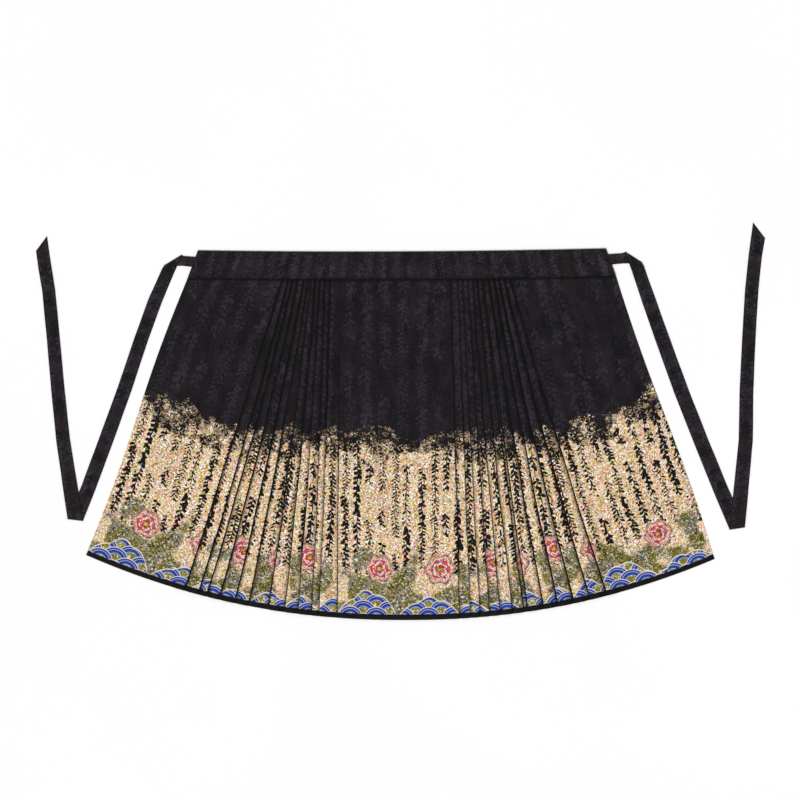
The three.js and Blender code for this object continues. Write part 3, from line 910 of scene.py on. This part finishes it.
def gold_cloth(u, h, ink):
    """Gold brocade of threads in many pale colours, with black sprays on it."""
    grain = grains(u, h, GOLD_GRAIN, 11.0)
    fleck = grains(u, h, 7.0, 23.0)
    mottled = palette(clamp(0.8 * grain + 0.2 * fleck), GOLD_GROUND)
    tan = palette(grain, GOLD_TAN)
    ground = blend(above(noise(u, h, 80, 31.0) + 0.3 * (fleck - 0.5), 0.53, 0.1), mottled, tan)
    ground = blend(0.11 * noise(u, h, 130, 37.0, 1.0), ground, linear(*GOLD_SHADOW))
    return blend(ink, ground, linear(*INK))


def wave_scales(u, h):
    """Rows of overlapping round waves drawn in rings, as on the hem of a court robe."""
    row = floor(h / WAVE_ROW)
    front = scale_distance(u, h, row - 1)
    back = scale_distance(u, h, row)
    in_front = above(WAVE_PITCH / 2 - front, 0, 0.4)
    distance = back + in_front * (front - back)
    ring = calc("FRACT", (distance + 1.5 * (noise(u, h, 12, 53.0) - 0.5)) / RING)
    colour = blend(above(ring, 0.5, 0.1), linear(*BLUE), linear(*DEEP_BLUE))
    colour = blend(above(ring, 0.82, 0.1), colour, linear(*LIGHT_BLUE))
    core = palette(grains(u, h, 3.4, 59.0), WAVE_CORE)
    colour = blend(above(WAVE_CORE_RADIUS - distance, 0, 0.8), colour, core)
    return blend(above(distance, WAVE_PITCH / 2 - WAVE_RIM, 0.8), colour, linear(*CREAM))


def scale_distance(u, h, row):
    """How far a point is from the middle of the nearest wave of a row."""
    shifted = u + WAVE_PITCH / 2 * calc("MODULO", row, 2.0)
    x = (calc("FRACT", shifted / WAVE_PITCH) - 0.5) * WAVE_PITCH
    y = h - row * WAVE_ROW
    return calc("SQRT", x * x + y * y)


def flower(u, h, seed):
    """Round blossoms in a row above the waves. Returns where they are and their colour."""
    cell = floor(u / FLOWER_PITCH)
    x = u - (cell + 0.3 + 0.4 * chance(cell, seed, 0.5)) * FLOWER_PITCH
    y = h - ranged(FLOWER_UP, chance(cell, seed, 2.5))
    radius = ranged(FLOWER_RADIUS, chance(cell, seed, 4.5))
    angle = calc("ARCTAN2", y, x) + 0.5 * (noise(u, h, 22, seed) - 0.5)
    distance = calc("SQRT", x * x + y * y) / radius
    outer = ranged(PETAL_REACH, size(calc("COSINE", angle * (PETALS / 2))))
    inner = ranged(PETAL_REACH, size(calc("SINE", angle * (PETALS / 2))))
    lobes = inner + above(distance, 0.5, 0.1) * (outer - inner)
    petal = distance / lobes
    speckled = petal + 0.2 * (grains(u, h, 3.4, seed) - 0.5)
    return above(1 - petal, 0, 0.03), palette(clamp(speckled), FLOWER_RINGS)


def hem_ornament(u, h, colour):
    """Waves, leaves and blossoms along the hem, over the colour that is given."""
    grain = grains(u, h, 3.2, 47.0)
    lobe = size(calc("SINE", u * (np.pi / CREST_PITCH)))
    taller = chance(floor(u / CREST_PITCH), 3.0, 19.0)
    ripple = size(calc("SINE", u * (np.pi / RIPPLE_PITCH) + 0.7))
    crest = CREST_LOWEST + lobe * ranged(CREST_RISE, taller) + RIPPLE_RISE * ripple
    crest = crest + 8 * (noise(u, h, 30, 5.0) - 0.5)
    bush = noise(u, h, 105, 61.0, 1.0) * 440 + 44 * (noise(u, h, 17, 67.0) - 0.5) - 138
    leafy = above(bush + crest * 0.3 - h + 26 * (grain - 0.5), 0, 3.0)
    shrub = palette(grain, SHRUB)
    stone = palette(grain, STONE)
    foliage = blend(above(noise(u, h, 44, 73.0), 0.5, 0.12), shrub, stone)
    colour = blend(leafy, colour, foliage)
    where, petals = flower(u, h, 83.0)
    colour = blend(where, colour, petals)
    colour = blend(above(crest - h, 0, 0.8), colour, wave_scales(u, h))
    foam = above(FOAM_WIDTH - size(crest - h), 0, 0.8)
    return blend(foam, colour, linear(*CREAM))


def brocade():
    """The cloth of the panels and pleats: black above, gold below, and an ornamented hem."""
    made, tree, shader = new_material("gold_brocade")
    u, h = surface_fields(tree)
    over_line = stored(tree, "over_gold") / MM
    shade = stored(tree, "shade")
    speck = grains(u, h, 3.4, 101.0)
    edge = over_line
    for reach, wave, seed, detail in LOBES:
        edge = edge + reach * (noise(u, h, wave, seed, detail) - 0.5)
    fade = clamp(0.5 - edge / FADE_DEPTH)
    gold_here = above(fade + 0.8 * (speck - 0.5) * above(fade, 0.06, 0.1), 0.5, 0.5)
    scale = 1 + (JACQUARD_SCALE - 1) * above(edge, 0, 1.0)
    marks = sprays(u / scale, h / scale, 2.0)
    burnt = above(noise(u, h, 46, 109.0, 3.0) - 0.0048 * size(edge + 20), 0.4, 0.1)
    ink = marks * above(h, INK_STOPS_AT + 40 * (noise(u, h, 110, 113.0, 0.0) - 0.5), 8)
    ink = clamp(ink + burnt * above(speck, 0.3, 0.3))
    gold = hem_ornament(u, h, gold_cloth(u, h, ink))
    colour = blend(gold_here, black_cloth(u, h, marks, 127.0), gold)
    # Painted shade: the colour darkens towards black beside fold edges, under the waistband and
    # above the binding
    depth = 1.9 * shade - 0.2 + 0.7 * shade * (noise(u, h, 90, 131.0, 0.0) - 0.5)
    colour = blend(clamp(depth), colour, linear(*PAINTED_SHADE_BLACK))
    rough = 0.72 - 0.12 * marks * (1 - gold_here)
    normal = bumps(tree, 0.4 * weave(u, h) + 0.5 * speck, 0.22)
    finish = {"Base Color": colour, "Roughness": rough, "Normal": normal, **CLOTH_FINISH}
    fill(tree, shader.inputs, finish)
    return made


def plain_black(name, seed, contrast, along_ribbon=False, stitches=(), joins=()):
    """The cloth of the waistband and ties, with rows of stitches and joins across it, and painted
    shade on its rolled edges.
    """
    made, tree, shader = new_material(name)
    u, h = surface_fields(tree)
    marks = sprays(h + 11, u, seed) if along_ribbon else sprays(u, h, seed)
    colour = black_cloth(u, h, marks, seed, 0.5, contrast)
    # Painted shade on the rolled top of the waistband and along the edges of the ties
    rim = above(stored(tree, "rim"), 0.88, 0.08)
    colour = blend(0.75 * rim, colour, linear(*SEAM_BLACK_AND_EDGE_SHADE))
    height = 0.5 * weave(u, h) + 0.5 * marks
    for up in stitches:
        near = above(STITCH_HALF_WIDTH - size(h - up), 0, 0.5)
        thread = above(calc("FRACT", u / STITCH_PITCH), 0.25, 0.1)
        colour = blend(near * thread, colour, linear(*SEAM_BLACK_AND_EDGE_SHADE))
        height = height - 1.5 * near * thread
    for place in joins:
        near = above(JOIN_HALF_WIDTH - size(u - place), 0, 0.8)
        colour = blend(0.8 * near, colour, linear(*SEAM_BLACK_AND_EDGE_SHADE))
        height = height - near
    normal = bumps(tree, height, 0.25)
    finish = {"Base Color": colour, "Roughness": 0.7, "Normal": normal, **CLOTH_FINISH}
    fill(tree, shader.inputs, finish)
    return made


def binding_satin():
    made, tree, shader = new_material("binding_satin")
    u, h = surface_fields(tree)
    cloud = noise(u, h, 30, 3.0)
    colour = blend(cloud, *(linear(*tone) for tone in SATIN))
    # Painted shade: the binding darkens along both its edges
    edge_shade = above(size(h - BINDING_WIDTH / 2), BINDING_WIDTH / 2 - 1.6, 1.2)
    colour = blend(0.8 * edge_shade, colour, linear(*SATIN_EDGE_SHADE))
    ribs = 0.5 + 0.5 * calc("SINE", (u + 0.4 * h) * (2 * np.pi / RIB_PITCH))
    normal = bumps(tree, 0.6 * ribs + 0.8 * noise(u, h, 9, 5.0), 0.25)
    finish = {"Base Color": colour, "Roughness": 0.55, "Normal": normal, "Specular IOR Level": 0.12}
    fill(tree, shader.inputs, finish)
    return made


def floor_paint():
    made, tree, shader = new_material("floor_paint")
    place = add_node(tree, "ShaderNodeTexCoord", {})
    inputs = {"Vector": Field(place.outputs["Object"]), "Scale": 1.5, "Detail": 2.0}
    cloud = Field(add_node(tree, "ShaderNodeTexNoise", inputs).outputs[0])
    colour = blend(cloud, *(linear(*tone) for tone in FLOOR_PAINT))
    finish = {"Base Color": colour, "Roughness": 0.9, "Specular IOR Level": 0.1}
    fill(tree, shader.inputs, finish)
    return made


# Building


def add_cloth(name, points, uv, material, nodes, floats=None):
    """A finished piece of cloth, which stands for nodes, whose solids it hides.
    """
    made = wall(name, points, uv, floats)
    made.data.materials.append(material)
    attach(made, "root")
    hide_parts(*nodes)


def build_cloth(half, material):
    """The panels and pleats of one half of the skirt, each as its own object."""
    length = SEAM_Y - HEM_LOWEST_Y
    near_binding = CLOTH_END - BINDING_SHADE_REACH / length
    shown = np.linspace(BELOW_BAND, CLOTH_END, ROW_COUNT)
    rows = np.concatenate([[INSIDE_BAND, INSIDE_BAND / 2], shown[:-1], [near_binding, CLOTH_END]])
    points, facts = surface_of(half(rows))
    across, up, over = cloth_coordinates(rows, points, facts["strip"])
    # The shade kept on the mesh, which the brocade paints into its colour as painted shade
    below_band = np.maximum(rows - BELOW_BAND, 0) * length
    under_band = UNDER_BAND_SHADE * np.exp(-below_band / BAND_SHADE_REACH)
    by_binding = np.where(rows > near_binding, BY_BINDING_SHADE, 0)
    shade = np.maximum(facts["shade"], np.maximum(under_band, by_binding))
    uv = np.stack([across, up], axis=-1)
    for piece in dict.fromkeys(facts["piece"].tolist()):
        if piece == BETWEEN_PIECES:
            continue
        here = facts["piece"] == piece
        floats = {"shade": shade[here], "over_gold": over[here] * MM}
        add_cloth(f"cloth_{piece}", points[here], uv[here], material, [piece], floats)


def build_binding(half, side, material):
    rows = np.linspace(BINDING_TOP, 1, BINDING_ROW_COUNT)
    points, facts = surface_of(half(rows))
    uv = np.stack(cloth_coordinates(rows, points, facts["strip"])[:2], axis=-1)
    points[..., 2] += BINDING_SWELL * np.sin(np.pi * (rows - BINDING_TOP) / (1 - BINDING_TOP))
    add_cloth(f"satin_{side}", points, uv, material, [f"binding_{side}"])


def band_face_levels():
    """Where the level of the waistband's face changes along the seam: x and level."""
    over_centre = BAND_LIFT + FLOOR_LEVEL + LAYER + CLOTH + BAND_CLEARANCE
    over_pleats = BAND_LIFT + FLOOR_LEVEL + 2 * LAYER + CLOTH + BAND_CLEARANCE
    left, right = PANEL_LEFT_EDGE.seam, PANEL_RIGHT_EDGE.seam
    free, folded = CENTRE_FREE_EDGE.seam, CENTRE_FOLDED_EDGE.seam
    return [
        (SIDE_LEFT.seam, BAND_TOP_LEVEL),
        (left - BAND_REACH, BAND_TOP_LEVEL),
        (left - BAND_REACH + PANEL_RUN_UP, over_pleats),
        (free - BAND_MARGIN, over_pleats),
        (free + PANEL_RUN_UP, over_centre),
        (folded - BAND_REACH, over_centre),
        (folded - BAND_REACH + PANEL_RUN_UP, over_pleats),
        (right + BAND_REACH - PANEL_RUN_UP, over_pleats),
        (right + BAND_REACH, BAND_TOP_LEVEL),
        (SIDE_RIGHT.seam, BAND_TOP_LEVEL),
    ]


def build_waistband(material):
    """A folded strip, open downwards, around the tops of the panels."""
    corners, levels = zip(*band_face_levels())
    x = np.arange(SIDE_LEFT.seam, SIDE_RIGHT.seam, BAND_STEP)
    x = np.unique(np.concatenate([x, corners])).astype(float)
    level = np.interp(x, corners, levels)
    slant = mix(BAND_END_SLANT, -BAND_END_SLANT, (x - x[0]) / (x[-1] - x[0]))
    turn_up = BAND_HEIGHT - BAND_TOP_TURN - CLOTH / 2
    angles = np.linspace(np.pi / 2, -np.pi / 2, TURN_POINTS + 2)
    up_face = np.linspace(0, turn_up, BAND_FACE_POINTS, endpoint=False)
    up_back = np.linspace(turn_up, 0, BAND_FACE_POINTS // 2)[1:]
    up = np.concatenate([up_face, turn_up + BAND_TOP_TURN * np.cos(angles), up_back])
    fall = smooth((up_face - BAND_FULL_TO) / (BAND_FLAT_FROM - BAND_FULL_TO))
    puff = BAND_PUFF * np.sin(np.pi * up_face / turn_up) * (
        0.6 + 0.4 * np.sin(2 * np.pi * x / BAND_PUFF_WAVE)[:, None]
    )
    z_face = mix(level[:, None], BAND_TOP_LEVEL, fall) + puff
    z_turn = FLOOR_LEVEL + BAND_TOP_TURN * (1 + np.sin(angles))
    z_behind = np.concatenate([z_turn, np.full(len(up_back), FLOOR_LEVEL)])
    z = np.hstack([z_face, np.tile(z_behind, (len(x), 1))])
    place_x = x[:, None] + slant[:, None] * up / BAND_HEIGHT
    place_y = seam_y(x)[:, None] + up
    # The rows of a wall run down from the top face to the back, so they are turned round
    points = np.stack([place_x, place_y, z], axis=-1)[:, ::-1]
    up_turn = turn_up + 2 * np.arange(len(angles))
    along_section = np.concatenate([up_face, up_turn, BACK_OF_BAND + up_back])
    uv = np.stack(np.broadcast_arrays(x[:, None], along_section[::-1]), axis=-1)
    turned = (uv[..., 1] >= turn_up) & (uv[..., 1] < BACK_OF_BAND)
    floats = {"rim": turned}
    add_cloth("waistband_cloth", points, uv, material, ["waistband"], floats)


def tie_stretch(points, before, after, flipped):
    """For each centre point, one point on each edge of the ribbon."""
    line = [before, *points, after]
    stations = []
    for i, point in enumerate(points):
        along = Vector((line[i + 2].x - line[i].x, line[i + 2].y - line[i].y)).normalized()
        side = Vector((-along.y, along.x)) * (point.width / 2)
        if flipped:
            side.negate()
        z = TIE_ABOVE if point.up else FLOOR_LEVEL
        stations.append([(point.x + end.x, point.y + end.y, z) for end in (side, -side)])
    return stations


def tie_fold(before, fold, after, flipped):
    """The ends of the line that a ribbon turns over, and the way out over that line."""
    into = Vector((fold.x - before.x, fold.y - before.y)).normalized()
    out_of = Vector((after.x - fold.x, after.y - fold.y)).normalized()
    line = (into + out_of).normalized()
    reach = fold.width / 2 / abs(into.cross(line))
    over = Vector((-line.y, line.x))
    if over.dot(into) < 0:
        over.negate()
    forward = (line.dot(Vector((-into.y, into.x))) > 0) != flipped
    end = line * (reach if forward else -reach)
    return [end, -end], over, Vector((fold.x, fold.y))


def fold_station(fold, out, z):
    ends, over, centre = fold
    return [(centre.x + end.x + over.x * out, centre.y + end.y + over.y * out, z) for end in ends]


def tie_turn(fold):
    """The stations of the half turn at a fold, from the floor up, with a flat lead at each end."""
    turned = [fold_station(fold, -TURN_DEPTH - TURN_LEAD, FLOOR_LEVEL)]
    for angle in np.linspace(np.pi / 2, -np.pi / 2, TURN_POINTS + 2):
        out = TURN_RADIUS * np.cos(angle) - TURN_DEPTH
        z = FLOOR_LEVEL + TURN_RADIUS * (1 - np.sin(angle))
        turned.append(fold_station(fold, out, z))
    return [*turned, fold_station(fold, -TURN_DEPTH - TURN_LEAD, TIE_ABOVE)]


def after_fold(fold, points, rest):
    """The points after a fold: the ribbon lies on the stretch before, then comes down."""
    following = points[0]
    length = np.hypot(following.x - fold.x, following.y - fold.y)
    near = []
    for distance, up in zip(rest, (True, False)):
        share = distance / length
        place = [mix(a, b, share) for a, b in zip(fold[:3], following[:3])]
        near.append(Point(*place, up))
    return [*near, *points]


def tie_stations(tie):
    """All stations of a tie, each with the points of its two edges."""
    first = tie_fold(tie.root[-1], tie.first_fold, tie.drop[0], False)
    second = tie_fold(tie.drop[-1], tie.second_fold, tie.end[0], True)
    back = Point(2 * tie.root[0].x - tie.root[1].x, tie.root[0].y, 0)
    tip_centre = Point(*np.mean(tie.tip, axis=0), 0)
    drop = after_fold(tie.first_fold, tie.drop, FIRST_FOLD_REST)
    end = after_fold(tie.second_fold, tie.end, SECOND_FOLD_REST)
    tip = [(x, y, FLOOR_LEVEL) for x, y in tie.tip]
    return np.array(
        [
            *tie_stretch(tie.root, back, tie.first_fold, False),
            *tie_turn(first),
            *tie_stretch(drop, tie.first_fold, tie.second_fold, True),
            *tie_turn(second),
            *tie_stretch(end, tie.second_fold, tip_centre, False),
            tip,
        ]
    )


def refined(stations):
    """The stations with more between them where they are far apart, eased in height."""
    fine = [stations[0]]
    for before, after in zip(stations, stations[1:]):
        length = np.linalg.norm(after[:, :2].mean(axis=0) - before[:, :2].mean(axis=0))
        count = max(1, int(np.ceil(length / TIE_STEP)))
        for share in np.arange(1, count + 1) / count:
            station = mix(before, after, share)
            station[:, 2] = mix(before[:, 2], after[:, 2], smooth(share))
            fine.append(station)
    return np.array(fine)


def build_tie(tie, side, material):
    stations = refined(tie_stations(tie))
    shares = np.linspace(1, 0, TIE_COLUMNS + 1)
    points = np.array([mix(stations[:, 0], stations[:, 1], share) for share in 1 - shares])[::-1]
    steps = np.linalg.norm(np.diff(points.mean(axis=0), axis=0), axis=-1)
    along = np.concatenate([[0], np.cumsum(steps)])
    # A slow ripple lifts the ribbon a little where it lies on the floor, away from its ends
    on_floor = smooth((points[..., 2].max() - points[..., 2]) / LAYER)
    ripple = 0.5 + 0.5 * np.sin(2 * np.pi * along / TIE_RIPPLE_WAVE + 1.3)
    width = np.linalg.norm(stations[:, 0] - stations[:, 1], axis=-1)
    uv = np.stack(np.broadcast_arrays(along, shares[:, None] * width), axis=-1)
    far = smooth(np.minimum(along - TIE_FLAT_TO, along[-1] - along) / TIE_RIPPLE_FADE)
    points[..., 2] += TIE_RIPPLE * ripple * on_floor * far
    rim = np.broadcast_to(np.abs(2 * shares[:, None] - 1), points.shape[:2])
    nodes = [f"tie_{side}_{part}" for part in ("root", "drop", "end")]
    add_cloth(f"tie_{side}", points, uv, material, nodes, {"rim": rim})


def build_stage():
    corners = [(-1, -1), (1, -1), (1, 1), (-1, 1)]
    vertices = [(x * FLOOR_HALF * MM, y * FLOOR_HALF * MM, -FLOOR_DROP * MM) for x, y in corners]
    mesh = bpy.data.meshes.new("floor")
    mesh.from_pydata(vertices, [], [(0, 1, 2, 3)])
    ground = bpy.data.objects.new("floor", mesh)
    ground.data.materials.append(floor_paint())
    bpy.context.scene.collection.objects.link(ground)


def build_light_and_camera():
    scene = bpy.context.scene
    world = bpy.data.worlds.new("studio")
    world.use_nodes = True
    sky = world.node_tree.nodes["Background"]
    fill(world.node_tree, sky.inputs, {"Color": (1, 1, 1, 1), "Strength": FILL_STRENGTH})
    scene.world = world
    key = bpy.data.objects.new("key", bpy.data.lights.new("key", "SUN"))
    key.data.energy = KEY_STRENGTH
    key.data.angle = np.radians(KEY_SOFTNESS)
    key.rotation_euler = np.radians(KEY_TURN)
    scene.collection.objects.link(key)
    camera = bpy.data.objects.new("camera", bpy.data.cameras.new("camera"))
    camera.data.lens = CAMERA_LENS
    camera.data.sensor_width = CAMERA_SENSOR
    camera.location = [length * MM for length in CAMERA_PLACE]
    scene.collection.objects.link(camera)
    scene.camera = camera
    scene.view_settings.view_transform = "Standard"


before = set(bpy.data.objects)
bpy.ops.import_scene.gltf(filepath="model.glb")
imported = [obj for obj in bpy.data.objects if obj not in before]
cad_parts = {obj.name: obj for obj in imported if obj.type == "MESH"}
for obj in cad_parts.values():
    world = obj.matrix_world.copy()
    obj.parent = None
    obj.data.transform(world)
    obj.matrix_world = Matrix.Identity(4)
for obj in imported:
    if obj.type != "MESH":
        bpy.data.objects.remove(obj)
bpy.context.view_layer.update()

brocade_material = brocade()
band_material = plain_black(
    "band_damask", 151.0, 1.65, stitches=(BAND_STITCHES_UP,), joins=(BAND_JOIN_X,)
)
tie_material = plain_black("tie_damask", 163.0, 2.3, along_ribbon=True)
binding_material = binding_satin()

build_cloth(left_half, brocade_material)
build_cloth(right_half, brocade_material)
build_binding(left_half, "left", binding_material)
build_binding(right_half, "right", binding_material)
build_waistband(band_material)
build_tie(LEFT_TIE, "left", tie_material)
build_tie(RIGHT_TIE, "right", tie_material)
build_stage()
build_light_and_camera()
